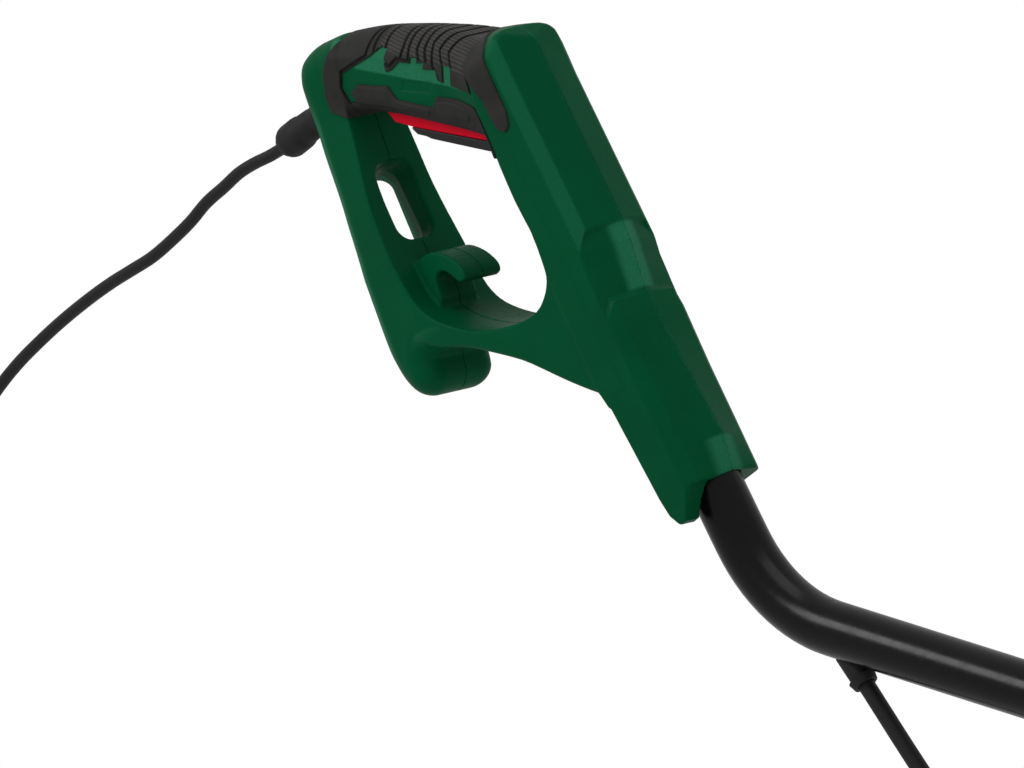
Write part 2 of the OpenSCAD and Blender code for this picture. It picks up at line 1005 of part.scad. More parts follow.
module motor_housing() {
    color("#0c5232")
        in_head()
            difference() {
                union() {
                    translate([axis_x, 0, base_z])
                        cylinder(r = motor_r, h = motor_h - 26, $fn = 96);
                    translate([axis_x, 0, base_z - 8])
                        cylinder(r = neck_r + 3, h = 9);
                    for (side = [-1, 1])
                        mirror([0, side > 0 ? 0 : 1, 0])
                            ear();
                    for (side = [-1, 1])
                        translate([axis_x, 0, hoop_z])
                            bar_y(hoop_boss, side > 0 ? motor_r - 6 : -motor_r - 4,
                                side > 0 ? motor_r + 4 : -motor_r + 6);
                }
                translate([axis_x, 0, base_z + motor_wall])
                    cylinder(r = motor_r - motor_wall, h = motor_h, $fn = 96);
                translate([axis_x, 0, base_z - 20])
                    cylinder(r = 11 + seat_gap, h = 30);
                bar_y(tilt_pin_r + run_fit, -60, 60);
                vents();
                translate([axis_x, 0, hoop_z])
                    bar_y(hoop_wire + run_fit, motor_r - 1, motor_r + 20);
                translate([axis_x, 0, hoop_z])
                    bar_y(hoop_wire + run_fit, -motor_r - 20, -motor_r + 1);
                cover_bolts(1.5 + seat_gap, -3);
                guard_bolts(1.5 + seat_gap);
            }
}

// One arm from the tilt pin to the barrel.
module ear() {
    bar_y(knuckle_r - 2, ear_low, 27);
    translate([0, ear_low, -knuckle_r + 2])
        cube([axis_x - motor_r + 12, 27 - ear_low, knuckle_r + 12]);
}

module vents() {
    for (a = [-60:20:60], z = [base_z + 20, base_z + 38])
        translate([axis_x, 0, z])
            rotate([0, 0, a])
                translate([motor_r - 6, -3, 0])
                    cube([10, 6, 11]);
}

module cover_bolts(r, low) {
    for (a = [0, 120, 240])
        translate([axis_x, 0, 0])
            rotate([0, 0, a + 60])
                translate([motor_r - 6.5, 0, top_z - 26 + low - 14])
                    cylinder(r = r, h = 60);
}

module guard_bolts(r) {
    for (a = [60, 180, 300])
        translate([axis_x, 0, base_z - 13])
            rotate([0, 0, a])
                translate([neck_r - 6, 0, 0])
                    cylinder(r = r, h = 12);
}

module motor_cover() {
    low = top_z - 26 + seat_gap;
    color("#1c1c1c")
        in_head()
            difference() {
                translate([axis_x, 0, low])
                    rotate_extrude($fn = 96)
                        polygon(concat([[0, 0], [motor_r, 0], [motor_r, 12]],
                            arc([motor_r - 14, 12], 14, 0, 80, 6), [[0, 27]]));
                translate([axis_x, 0, low - 1])
                    rotate_extrude($fn = 96)
                        polygon([[0, 0], [motor_r - 13, 0], [motor_r - 13, 12], [motor_r - 18, 20], [0, 22]]);
                for (side = [-1, 1])
                    translate([-2, side > 0 ? ear_low - 1 : -28, -40])
                        cube([axis_x - motor_r + 14.4, 29 - ear_low, 54.4]);
                translate([-30, -ear_low, -40])
                    cube([30 + knuckle_r + 3, 2 * ear_low, 80]);
                cover_bolts(1.5 + 0.3, -3);
                translate([axis_x, 0, 0])
                    for (a = [0, 120, 240])
                        rotate([0, 0, a + 60])
                            translate([motor_r - 6.5, 0, low + 9])
                                cylinder(r = 3.4, h = 60);
            }
}

module cover_screws() {
    color("silver")
        in_head()
            translate([axis_x, 0, 0])
                for (a = [0, 120, 240])
                    rotate([0, 0, a + 60])
                        translate([motor_r - 6.5, 0, top_z - 26 + 11])
                            screw(1.5, 18);
}

module motor_stator() {
    color("#9a9a9a")
        on_axis(base_z + 24)
            difference() {
                cylinder(r = motor_r - motor_wall - 8, h = 38);
                translate([0, 0, -1])
                    cylinder(r = 19, h = 60);
                for (side = [-1, 1])
                    translate([side * 34 - 10, -30, -1])
                        cube([20, 60, 3]);
            }
}

module motor_bearings() {
    color("#c0c0c0")
        on_axis()
            for (z = [base_z - 6, top_z - 16])
                translate([0, 0, z])
                    ring(11, shaft_r + run_fit, 7);
}

module motor_rotor() {
    color("#b87333")
        on_axis() {
            translate([0, 0, hub_top - 8])
                cylinder(r = shaft_r, h = top_z - 12 - hub_top + 8);
            translate([0, 0, base_z + 26])
                cylinder(r = 17.5, h = 34);
            translate([0, 0, base_z + 64])
                cylinder(r = 9, h = 10);
        }
}

module cooling_fan() {
    color("#303030")
        on_axis(base_z + 7) {
            ring(10, shaft_r + seat_gap, 12);
            ring(30, 9, 1.6);
            for (a = [0:30:330])
                rotate([0, 0, a])
                    translate([9.5, -0.7, 1])
                        cube([20, 1.4, 11]);
        }
}

// ---- guard --------------------------------------------------------------------------------------

module guard() {
    color("#1c1c1c")
        on_axis(guard_z)
            difference() {
                union() {
                    translate([0, 0, -3.5])
                        cylinder(r = neck_r + 6, h = 4.1);
                    rotate([0, 0, 180 - guard_arc / 2])
                        rotate_extrude(angle = guard_arc, $fn = 120)
                            guard_section(neck_r - 1);
                    for (a = [-60:30:60])
                        rotate([0, 0, 180 + a])
                            translate([neck_r + 3, -1.5, -1])
                                cube([guard_r - neck_r - 22, 3, 5]);
                }
                translate([0, 0, -10])
                    cylinder(r = 14, h = 20);
                translate([-axis_x, 0, -guard_z])
                    guard_bolts(1.5 + 0.3);
            }
}

// Half of the guard's section: a flat plate, a sloping shoulder and an upright skirt.
module guard_section(inner) {
    polygon([[inner, -3], [guard_r - 14, -3], [guard_r - 3, -9], [guard_r - 3, -skirt_h],
        [guard_r, -skirt_h], [guard_r, -8], [guard_r - 13, 0], [inner, 0]]);
}

module guard_screws() {
    color("silver")
        on_axis(guard_z - 3)
            for (a = [60, 180, 300])
                rotate([0, 0, a])
                    translate([neck_r - 6, 0, -2.5])
                        rotate([180, 0, 0])
                            screw(1.5, 12);
}

module at_blade() {
    on_axis(guard_z - skirt_h + 6)
        rotate([0, 0, 180 - guard_arc / 2])
            translate([guard_r, 0, 0])
                children();
}

module cutter_blade() {
    color("#bcbcbc")
        at_blade()
            translate([-20, -1.6 - seat_gap, -4])
                cube([24, 1.6, 12]);
}

// ---- spool head ---------------------------------------------------------------------------------

module spool_hub() {
    color("#202020")
        on_axis(hub_top)
            difference() {
                rotate_extrude($fn = 96)
                    polygon([[0, 4], [10, 4], [10, 0], [hub_r - 10, 0], [hub_r - 3, -4], [hub_r, -10],
                        [hub_r, -hub_h], [hub_r - 3, -hub_h], [hub_r - 3, -10], [hub_r - 10, -3], [0, -3]]);
                translate([0, 0, -10])
                    cylinder(r = shaft_r + seat_gap, h = 30);
                for (a = [0, 180])
                    rotate([0, 0, a])
                        translate([hub_r - 9, 0, line_z - hub_top])
                            bar_x(3.5 + seat_gap, 14);
                for (a = [15:30:345])
                    rotate([0, 0, a])
                        translate([hub_r + 1.2, 0, -hub_h - 1])
                            cylinder(r = 2.4, h = 20, $fn = 24);
            }
}

module spool() {
    color("#303030")
        on_axis(hub_low + bump_travel + 2) {
            ring(36, 9, 1.8);
            translate([0, 0, 16])
                ring(36, 9, 1.8);
            ring(18, 9, 17.8);
        }
}

module line_eyelets() {
    color("#c8c8c8")
        on_axis(line_z)
            for (a = [0, 180])
                rotate([0, 0, a])
                    translate([hub_r - 4.5, 0, 0])
                        difference() {
                            union() {
                                bar_x(3.5, 7);
                                translate([4.5 + seat_gap, 0, 0])
                                    bar_x(5, 2);
                            }
                            translate([-1, 0, 0])
                                bar_x(line_r + 0.4, 20);
                        }
}

module cutting_line() {
    color("#d9a400")
        on_axis(line_z)
            for (a = [0, 180])
                rotate([0, 0, a])
                    translate([hub_r - 6, 0, 0])
                        bar_x(line_r, line_len + 6);
}

module spool_spring() {
    color("silver")
        on_axis(hub_low + 0.4)
            ring(8, 6.6, 24);
}

module bump_cap() {
    color("#202020")
        on_axis(hub_low)
            difference() {
                rotate_extrude($fn = 96)
                    polygon(concat([[0, 0], [cap_r - 4, 0], [cap_r - 4, -1], [cap_r + 3, -1]],
                        arc([cap_r - 3, -4], 6, 0, -60, 4), [[20, -cap_h], [0, -cap_h]]));
                for (a = [0:30:330])
                    rotate([0, 0, a])
                        translate([cap_r + 4, 0, -20])
                            cylinder(r = 3, h = 30, $fn = 24);
            }
}

// ---- plant guard --------------------------------------------------------------------------------

module plant_guard() {
    color("#b0b4b8")
        on_axis(hoop_z)
            rotate([0, hoop_dip, 0]) {
                for (side = [-1, 1])
                    bar_y(hoop_wire, side > 0 ? motor_r - 0.4 : -hoop_r, side > 0 ? hoop_r : -motor_r + 0.4);
                rotate([0, 0, -90])
                    rotate_extrude(angle = 180, $fn = 120)
                        translate([hoop_r, 0])
                            circle(r = hoop_wire, $fn = 24);
            }
}

housing_right();
housing_left();
housing_screws();
grip_overmould();
trigger();
trigger_pad();
trigger_pin();
trigger_spring();
lock_off_button();
switch();
capacitor();
cord_clamp();
clamp_screws();
cable_boot();
mains_cord();
plug_body();
plug_pins();
upper_tube();
tube_bolt();
cable_grommet();
motor_cable();
lower_tube();
coupling_sleeve();
coupling_screws();
cable_clips();
saddle_upper();
saddle_lower();
saddle_screws();
handle_bolt();
handle_knob();
bow();
bow_grip();
head_yoke();
yoke_screws();
tilt_pin();
tilt_button();
tilt_spring();
motor_housing();
motor_cover();
cover_screws();
motor_stator();
motor_bearings();
motor_rotor();
cooling_fan();
guard();
guard_screws();
cutter_blade();
spool_hub();
spool();
line_eyelets();
cutting_line();
spool_spring();
bump_cap();
plant_guard();
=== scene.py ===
"""Corded string trimmer: looks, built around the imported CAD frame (+X forward, +Z up, metres)."""

import math

import bpy
import numpy as np
import openvdb
from mathutils import Matrix, Vector


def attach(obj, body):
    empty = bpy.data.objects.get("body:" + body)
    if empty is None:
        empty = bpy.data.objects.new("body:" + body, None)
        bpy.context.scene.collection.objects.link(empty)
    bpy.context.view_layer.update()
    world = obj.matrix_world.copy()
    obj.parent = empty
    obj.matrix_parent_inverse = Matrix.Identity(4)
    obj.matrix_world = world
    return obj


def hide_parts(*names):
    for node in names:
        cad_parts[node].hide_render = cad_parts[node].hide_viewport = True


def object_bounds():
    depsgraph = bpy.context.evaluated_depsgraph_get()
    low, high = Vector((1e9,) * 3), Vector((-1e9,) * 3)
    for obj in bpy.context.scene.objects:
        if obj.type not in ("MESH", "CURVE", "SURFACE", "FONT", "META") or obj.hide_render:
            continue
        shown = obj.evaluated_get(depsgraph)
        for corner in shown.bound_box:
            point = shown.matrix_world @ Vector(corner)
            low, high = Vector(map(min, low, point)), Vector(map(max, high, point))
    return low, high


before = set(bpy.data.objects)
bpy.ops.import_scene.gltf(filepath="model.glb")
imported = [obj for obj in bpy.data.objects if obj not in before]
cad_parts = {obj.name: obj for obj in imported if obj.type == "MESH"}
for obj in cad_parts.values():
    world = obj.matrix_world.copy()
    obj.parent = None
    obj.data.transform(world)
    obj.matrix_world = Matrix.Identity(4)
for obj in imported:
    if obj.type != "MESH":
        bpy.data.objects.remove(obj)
cad_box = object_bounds()

# ---- camera ---------------------------------------------------------------------------------------

VIEW_RIGHT = Vector((0.6085, 0.702, -0.3714))
VIEW_UP = Vector((0.3707, 0.162, 0.9146))
VIEW_BACK = VIEW_RIGHT.cross(VIEW_UP)
LOOK_AT = Vector((-0.0292, 0.008, -0.1613))
CAMERA_DISTANCE = 10
VIEW_WIDTH = 0.512
SENSOR = 36

camera = bpy.data.objects.new("camera", bpy.data.cameras.new("camera"))
bpy.context.scene.collection.objects.link(camera)
camera.data.sensor_width = SENSOR
camera.data.lens = SENSOR * CAMERA_DISTANCE / VIEW_WIDTH
camera.data.clip_start, camera.data.clip_end = 0.5, 60
camera.location = LOOK_AT + VIEW_BACK * CAMERA_DISTANCE
camera.rotation_mode = "QUATERNION"
camera.rotation_quaternion = (-VIEW_BACK).to_track_quat("-Z", "Y")
turned = camera.rotation_quaternion.to_matrix()
roll = math.atan2((turned @ Vector((1, 0, 0))).dot(VIEW_UP), (turned @ Vector((1, 0, 0))).dot(VIEW_RIGHT))
camera.rotation_quaternion = (turned @ Matrix.Rotation(-roll, 3, "Z")).to_quaternion()
bpy.context.scene.camera = camera

# ---- material kit ---------------------------------------------------------------------------------


def linear(rgb):
    """An sRGB colour, 0 to 255, as the linear RGBA that a shader takes."""
    scaled = [c / 255 for c in rgb]
    return [c / 12.92 if c <= 0.04045 else ((c + 0.055) / 1.055) ** 2.4 for c in scaled] + [1]


class Nodes:
    """A material's node tree, with one method for each kind of node used here."""

    def __init__(self, name):
        self.material = bpy.data.materials.new(name)
        self.material.use_nodes = True
        self.tree = self.material.node_tree
        self.shader = self.tree.nodes["Principled BSDF"]

    def add(self, kind, inputs=(), **settings):
        node = self.tree.nodes.new(kind)
        for key, value in settings.items():
            setattr(node, key, value)
        for socket, value in dict(inputs).items():
            if isinstance(value, bpy.types.NodeSocket):
                self.tree.links.new(value, node.inputs[socket])
            else:
                node.inputs[socket].default_value = value
        return node

    def noise(self, scale, detail=3, stretch=(1, 1, 1)):
        """Noise over the piece; scale is in cycles per metre, and stretch squeezes it along the axes."""
        place = self.add("ShaderNodeTexCoord").outputs["Object"]
        if stretch != (1, 1, 1):
            place = self.add("ShaderNodeMapping", {"Vector": place, "Scale": stretch}).outputs[0]
        made = self.add("ShaderNodeTexNoise", {"Vector": place, "Scale": scale, "Detail": detail})
        return made.outputs["Fac"]

    def span(self, value, low, high, from_low=0.3, from_high=0.7):
        settings = {"Value": value, "From Min": from_low, "From Max": from_high,
                    "To Min": low, "To Max": high}
        return self.add("ShaderNodeMapRange", settings).outputs[0]

    def math(self, operation, a, b):
        return self.add("ShaderNodeMath", {0: a, 1: b}, operation=operation).outputs[0]

    def mix(self, factor, a, b):
        node = self.add("ShaderNodeMix", data_type="RGBA")
        for index, value in ((0, factor), (6, a), (7, b)):
            if isinstance(value, bpy.types.NodeSocket):
                self.tree.links.new(value, node.inputs[index])
            else:
                node.inputs[index].default_value = value
        return node.outputs[2]

    def attribute(self, name):
        return self.add("ShaderNodeAttribute", attribute_name=name).outputs["Fac"]

    def bump(self, height, depth, strength=1.0, normal=None):
        inputs = {"Height": height, "Distance": depth, "Strength": strength}
        if normal is not None:
            inputs["Normal"] = normal
        return self.add("ShaderNodeBump", inputs).outputs[0]

    def finish(self, colour, roughness, normal):
        for socket, value in (("Base Color", colour), ("Roughness", roughness), ("Normal", normal)):
            self.tree.links.new(value, self.shader.inputs[socket])
        return self.material


def shaded(rgb, amount):
    return linear([min(255, max(0, c * (1 + amount) + 255 * amount * 0.04)) for c in rgb])


def moulded(name, rgb, rough, grain=1400, depth=0.00003, mottle=0.05, specular=0.5, coat=0.0):
    """Moulded plastic or rubber: faint mottling, uneven gloss and a fine grain."""
    n = Nodes(name)
    cloud = n.noise(45, 4)
    fine = n.noise(grain, 2)
    colour = n.mix(n.span(cloud, 0, 1), shaded(rgb, -mottle), shaded(rgb, mottle))
    gloss = n.span(n.noise(160, 4), rough - 0.05, rough + 0.05)
    n.shader.inputs["Specular IOR Level"].default_value = specular
    n.shader.inputs["Coat Weight"].default_value = coat
    n.shader.inputs["Coat Roughness"].default_value = 0.12
    return n.finish(colour, gloss, n.bump(fine, depth))


def metal(name, rgb, rough, stretch=(1, 1, 1), depth=0.00001):
    """Bright or plated metal with fine scratches drawn out along one axis."""
    n = Nodes(name)
    drawn = n.noise(900, 3, stretch)
    colour = n.mix(n.span(n.noise(60, 3), 0, 1), shaded(rgb, -0.06), shaded(rgb, 0.05))
    n.shader.inputs["Metallic"].default_value = 1.0
    return n.finish(colour, n.span(drawn, rough - 0.06, rough + 0.08), n.bump(drawn, depth))


GREEN = (0, 72, 42)
BLACK = (32, 32, 33)


def housing_green(name):
    """The housing's green: smooth satin, with a paler speckled tone where the mask says: partly real
    spark-eroded grain, partly painted highlight.
    """
    n = Nodes(name)
    mask = n.attribute("erosion_and_highlight")
    fine = n.noise(1500, 3)
    speckle = n.noise(2600, 4)
    plain = n.mix(n.span(n.noise(30, 4), 0, 1), shaded(GREEN, -0.03), shaded(GREEN, 0.03))
    # The paler speckled tone is partly real spark-eroded grain and partly painted highlight, mixed in
    # where the mask is set.
    eroded_and_lit_tone = n.mix(n.span(speckle, 0, 1, 0.35, 0.65), linear((26, 104, 72)), linear((50, 128, 94)))
    colour = n.mix(mask, plain, eroded_and_lit_tone)
    gloss = n.math("ADD", n.span(n.noise(220, 3), 0.36, 0.44), n.math("MULTIPLY", mask, 0.16))
    height = n.math("ADD", n.math("MULTIPLY", fine, 0.25), n.math("MULTIPLY", speckle, mask))
    n.shader.inputs["Specular IOR Level"].default_value = 0.03
    return n.finish(colour, gloss, n.bump(height, 0.00006))


def soft_black(name):
    """The grip's soft overmould: matt, with fine upright ribbing on the thumb panel whose crests carry a
    painted highlight, and painted shade in each groove.
    """
    n = Nodes(name)
    ribs = n.attribute("ribs")
    fine = n.noise(2200, 3)
    wave = n.add("ShaderNodeTexWave", {"Scale": 190.0, "Distortion": 2.0, "Detail": 2.0,
                                       "Vector": n.add("ShaderNodeTexCoord").outputs["Object"]},
                 bands_direction="DIAGONAL").outputs["Fac"]
    colour = n.mix(n.span(n.noise(70, 4), 0, 1), linear((30, 30, 29)), linear((40, 39, 38)))
    # Painted highlight: the rib crests are mixed towards a paler grey.
    colour = n.mix(n.math("MULTIPLY", ribs, n.span(wave, 0, 0.5, 0, 1)), colour, linear((74, 72, 71)))
    # Painted shade: each groove is darkened towards near black.
    colour = n.mix(n.math("MULTIPLY", n.attribute("groove_shade"), 0.9), colour, linear((12, 12, 12)))
    height = n.math("ADD", n.math("MULTIPLY", fine, 0.4), n.math("MULTIPLY", wave, ribs))
    n.shader.inputs["Specular IOR Level"].default_value = 0.14
    return n.finish(colour, n.span(fine, 0.58, 0.7), n.bump(height, 0.00008))


MATERIALS = {
    "green": housing_green("housing green"),
    "soft_black": soft_black("soft black"),
    "red": moulded("trigger red", (200, 4, 34), 0.38, mottle=0.03, specular=0.06),
    "black": moulded("black plastic", BLACK, 0.42, grain=1700, depth=0.00005, specular=0.2),
    "pale": moulded("pale plastic", (206, 200, 186), 0.4),
    "rubber": moulded("black rubber", (32, 32, 33), 0.6, grain=2400, depth=0.00006, specular=0.15),
    "cable": moulded("cable sheath", (24, 24, 25), 0.5, grain=1800, depth=0.00004, specular=0.2),
    "tube": moulded("coated tube", (9, 9, 10), 0.24, grain=700, depth=0.00001, specular=0.16),
    "steel": metal("bright steel", (176, 178, 180), 0.32, (1, 1, 0.1)),
    "spring": metal("spring steel", (150, 152, 156), 0.3, (0.2, 1, 1)),
    "laminated": metal("laminated steel", (120, 122, 126), 0.42, (0.05, 0.05, 3)),
    "blade": metal("blade steel", (188, 190, 194), 0.25, (1, 0.1, 1)),
    "brass": metal("plated brass", (196, 190, 170), 0.24),
    "line": moulded("nylon line", (206, 150, 16), 0.35, specular=0.6),
    "hoop": metal("hoop steel", (168, 172, 176), 0.28, (1, 0.1, 1)),
    "copper": metal("copper", (184, 110, 72), 0.34),
}


def paint(obj, material):
    obj.data.materials.clear()
    obj.data.materials.append(MATERIALS[material])
    return obj


NODE_FINISH = {
    "green": ["housing_right", "housing_left", "motor_housing"],
    "soft_black": ["grip_overmould", "bow_grip"],
    "red": ["trigger", "lock_off_button", "tilt_button"],
    "black": ["trigger_pad", "cord_clamp", "switch", "coupling_sleeve", "cable_clips", "saddle_upper",
              "saddle_lower", "bow", "handle_knob", "head_yoke", "motor_cover", "cooling_fan", "guard",
              "spool_hub", "spool", "bump_cap"],
    "pale": ["capacitor"],
    "rubber": ["cable_boot", "cable_grommet", "plug_body"],
    "cable": ["mains_cord", "motor_cable"],
    "tube": ["upper_tube", "lower_tube"],
    "steel": ["housing_screws", "trigger_pin", "clamp_screws", "tube_bolt", "coupling_screws",
              "saddle_screws", "handle_bolt", "yoke_screws", "tilt_pin", "cover_screws", "guard_screws",
              "motor_bearings", "line_eyelets"],
    "spring": ["trigger_spring", "tilt_spring", "spool_spring"],
    "laminated": ["motor_stator", "motor_rotor"],
    "blade": ["cutter_blade"],
    "brass": ["plug_pins"],
    "line": ["cutting_line"],
    "hoop": ["plant_guard"],
}
for finish_name, names in NODE_FINISH.items():
    for node_name in names:
        paint(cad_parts[node_name], finish_name)

# ---- cords: both follow the routes of the CAD source ------------------------------------------------

MM = 0.001
LEAD_ROUTE = [(-88, 5), (-98, 4), (-108, 3), (-120, 3), (-133, 4), (-146, 4), (-160, 2), (-176, 0),
              (-192, -4), (-210, -7), (-228, -9), (-246, -9), (-264, -9), (-284, -10), (-306, -12),
              (-328, -15), (-350, -19), (-372, -25), (-393, -33), (-412, -43), (-429, -55), (-443, -69)]
CABLE_ROUTE = [(8, -10), (20, -20), (36, -34), (52, -48), (70, -63), (90, -77), (112, -89), (136, -98),
               (162, -103), (188, -104), (214, -101), (238, -93), (260, -81), (280, -66), (298, -50),
               (314, -35), (328, -26), (339, -23), (352, -23), (372, -23), (402, -23), (432, -23),
               (462, -23),
               (500, -23), (540, -23), (578, -23), (620, -23), (662, -23), (690, -23), (712, -23)]
RUN_START = Vector((0.12366, 0, -0.35368))
RUN_SLOPE = math.radians(35)
RUN_X = Vector((math.cos(RUN_SLOPE), 0, -math.sin(RUN_SLOPE)))
RUN_Z = Vector((math.sin(RUN_SLOPE), 0, math.cos(RUN_SLOPE)))


def on_run(x, z, y=0.0):
    """A point of the straight run, given in millimetres along it and above it."""
    return RUN_START + RUN_X * (x * MM) + RUN_Z * (z * MM) + Vector((0, y * MM, 0))


def spline(points, steps, closed=False):
    """A Catmull-Rom curve through the points, with that many steps between each two."""
    p = np.array(points, float)
    n = len(p)
    made = []
    for i in range(n if closed else n - 1):
        pick = [(i + k) % n for k in (-1, 0, 1, 2)] if closed else \
            [min(max(i + k, 0), n - 1) for k in (-1, 0, 1, 2)]
        a, b, c, d = p[pick]
        for s in range(steps):
            t = s / steps
            made.append(0.5 * (2 * b + (c - a) * t + (2 * a - 5 * b + 4 * c - d) * t ** 2
                               + (3 * b - a - 3 * c + d) * t ** 3))
    if not closed:
        made.append(p[-1])
    return np.array(made)


def lay_cord(name, points, radius):
    data = bpy.data.curves.new(name, "CURVE")
    data.dimensions = "3D"
    data.bevel_depth = radius
    data.bevel_resolution = 8
    data.use_fill_caps = True
    line = data.splines.new("POLY")
    line.points.add(len(points) - 1)
    for knot, place in zip(line.points, points):
        knot.co = (*place, 1)
    line.use_smooth = True
    obj = bpy.data.objects.new(name, data)
    bpy.context.scene.collection.objects.link(obj)
    return obj


LEAD_D, CABLE_D = 0.0064, 0.0088
lead_points = spline([(x * MM, 0, z * MM) for x, z in LEAD_ROUTE], 6)
lead = paint(lay_cord("lead", lead_points, LEAD_D / 2), "cable")
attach(lead, "frame")
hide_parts("mains_cord")

cable_points = spline([on_run(x, z) for x, z in CABLE_ROUTE], 6)
cable = paint(lay_cord("cable_to_motor", cable_points, CABLE_D / 2), "cable")
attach(cable, "frame")
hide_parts("motor_cable")

# ---- solids from distance fields --------------------------------------------------------------------
# The handle's frame, in millimetres: F ahead of the tube's axis, B to the left, U up from the tube's exit.

LEAN = math.radians(5)
GRIP_MID = (-62, 268)
GRIP_FOOT = (-21, 204)
GRIP_COS, GRIP_SIN = 0.781, 0.625


def to_row(points):
    f, b, u = (points[:, i] for i in range(3))
    f, u = f - GRIP_MID[0], u - GRIP_MID[1]
    c, s = math.cos(LEAN), math.sin(LEAN)
    return np.stack([c * f - s * u, b, s * f + c * u], 1) * MM


def smax(a, b, k):
    h = np.maximum(k - np.abs(a - b), 0) / k
    return np.maximum(a, b) + h * h * k / 4


def smin(a, b, k):
    return -smax(-a, -b, k)


def step(x, low, high):
    t = np.clip((x - low) / (high - low), 0, 1)
    return t * t * (3 - 2 * t)


def plank(flat, side, r):
    """A slab from its outline's distance and its side's, with edges rounded to r."""
    a, b = flat + r, side + r
    return np.minimum(np.maximum(a, b), 0) + np.hypot(np.maximum(a, 0), np.maximum(b, 0)) - r


class Outline:
    """Signed distance to a closed outline of the handle's side view, negative inside."""

    LOW, HIGH, PITCH = (-160, -30), (50, 350), 0.5

    def __init__(self, *chains):
        p = np.concatenate([np.array(c, float) for c in chains])
        f = np.arange(self.LOW[0], self.HIGH[0], self.PITCH)[:, None]
        u = np.arange(self.LOW[1], self.HIGH[1], self.PITCH)[None, :]
        near = np.full((f.size, u.size), 1e9)
        inside = np.zeros(near.shape, bool)
        for a, b in zip(p, np.roll(p, -1, 0)):
            run = b - a
            if not run.any():
                continue
            t = np.clip(((f - a[0]) * run[0] + (u - a[1]) * run[1]) / (run @ run), 0, 1)
            near = np.minimum(near, (f - a[0] - run[0] * t) ** 2 + (u - a[1] - run[1] * t) ** 2)
            if run[1]:
                crossing = ((a[1] <= u) != (b[1] <= u)) & (f < a[0] + run[0] * (u - a[1]) / run[1])
                inside ^= crossing
        self.grid = np.where(inside, -1, 1) * np.sqrt(near)

    def __call__(self, f, u):
        x = np.clip((f - self.LOW[0]) / self.PITCH, 0, self.grid.shape[0] - 1.001)
        y = np.clip((u - self.LOW[1]) / self.PITCH, 0, self.grid.shape[1] - 1.001)
        i, j = x.astype(int), y.astype(int)
        x, y = x - i, y - j
        g = self.grid
        return (g[i, j] * (1 - x) * (1 - y) + g[i + 1, j] * x * (1 - y)
                + g[i, j + 1] * (1 - x) * y + g[i + 1, j + 1] * x * y)


def mesh_object(name, points, faces, normals=None):
    data = bpy.data.meshes.new(name)
    data.vertices.add(len(points))
    data.vertices.foreach_set("co", np.asarray(points, np.float32).ravel())
    data.loops.add(faces.size)
    data.loops.foreach_set("vertex_index", faces.astype(np.int32).ravel())
    data.polygons.add(len(faces))
    data.polygons.foreach_set("loop_start", np.arange(0, faces.size, faces.shape[1], dtype=np.int32))
    data.polygons.foreach_set("use_smooth", np.ones(len(faces), bool))
    data.update(calc_edges=True)
    if normals is not None:
        data.normals_split_custom_set_from_vertices(normals.tolist())
    obj = bpy.data.objects.new(name, data)
    bpy.context.scene.collection.objects.link(obj)
    return obj


def solid(name, field, low, high, pitch, masks=None):
    """A smooth closed piece from a distance field over the handle's frame."""
    f, b, u = (np.arange(a, z + pitch, pitch) for a, z in zip(low, high))
    values = np.broadcast_to(field(f[:, None, None], b[None, :, None], u[None, None, :]),
                             (f.size, b.size, u.size))
    grid = openvdb.FloatGrid(3.0)
    grid.copyFromArray(np.ascontiguousarray(values, np.float32))
    points, quads = grid.convertToQuads()
    points = np.asarray(points, float) * pitch + np.array([f[0], b[0], u[0]])
    reach = 0.25

    def slope(p):
        made = np.zeros_like(p)
        for axis in range(3):
            move = np.zeros(3)
            move[axis] = reach
            ahead, behind = p + move, p - move
            made[:, axis] = (field(*ahead.T) - field(*behind.T)) / (2 * reach)
        return made

    for _ in range(2):
        g = slope(points)
        distance = field(*points.T)
        push = g * (distance / np.maximum((g * g).sum(1), 0.3))[:, None]
        size = np.linalg.norm(push, axis=1)
        points = points - push * np.minimum(1, 0.6 * pitch / np.maximum(size, 1e-9))[:, None]
    g = slope(points)
    normals = g / np.maximum(np.linalg.norm(g, axis=1), 1e-6)[:, None]
    turned_normals = (to_row(normals) - to_row(np.zeros((1, 3)))) / MM
    row = to_row(points)
    quads = np.asarray(quads)
    a, b2, c = row[quads[:, 0]], row[quads[:, 1]], row[quads[:, 2]]
    outward = (np.cross(b2 - a, c - a) * turned_normals[quads[:, 0]]).sum(1).mean() > 0
    if not outward:
        quads = quads[:, ::-1]
    obj = mesh_object(name, row, quads, turned_normals)
    for key, mask in (masks or {}).items():
        layer = obj.data.attributes.new(key, "FLOAT", "POINT")
        layer.data.foreach_set("value", np.asarray(mask(*points.T), np.float32))
    return obj


# ---- housing ----------------------------------------------------------------------------------------

HALF = 27
SEAM = 0.07
OVERMOULD = 1.1

handle_back = Outline(
    spline([(-60, 293.2), (-82, 301.5), (-96, 306), (-110, 308.5), (-122, 306.5), (-128.5, 299.5),
            (-131.5, 289), (-134.8, 259), (-137.3, 233), (-140.4, 206), (-144.4, 180), (-147.8, 157),
            (-148, 146), (-146.4, 135.5), (-142.4, 127.2), (-136, 122.8), (-128.5, 122.6),
            (-122.5, 127), (-119.5, 136)], 4),
    spline([(-117, 139.5), (-110, 138.5), (-100, 134), (-87, 127), (-76, 119), (-63, 109), (-54, 101),
            (-35, 81), (-19, 66), (-10, 60)], 3),
    [(0, 60), (0, 240), (-50, 270)])
loop_opening = Outline(
    spline([(-97, 280), (-101, 268), (-105, 245), (-109, 223), (-110, 202), (-110, 183), (-108.5, 165),
            (-102, 152), (-88, 139), (-74, 130.5), (-53, 123), (-37, 120.5), (-27, 123), (-18.5, 130),
            (-14.5, 141), (-13, 155), (-13.5, 173), (-12.5, 200)], 4),
    [(-12, 215), (-5, 330), (-88, 330), (-90, 306), (-94, 292)])
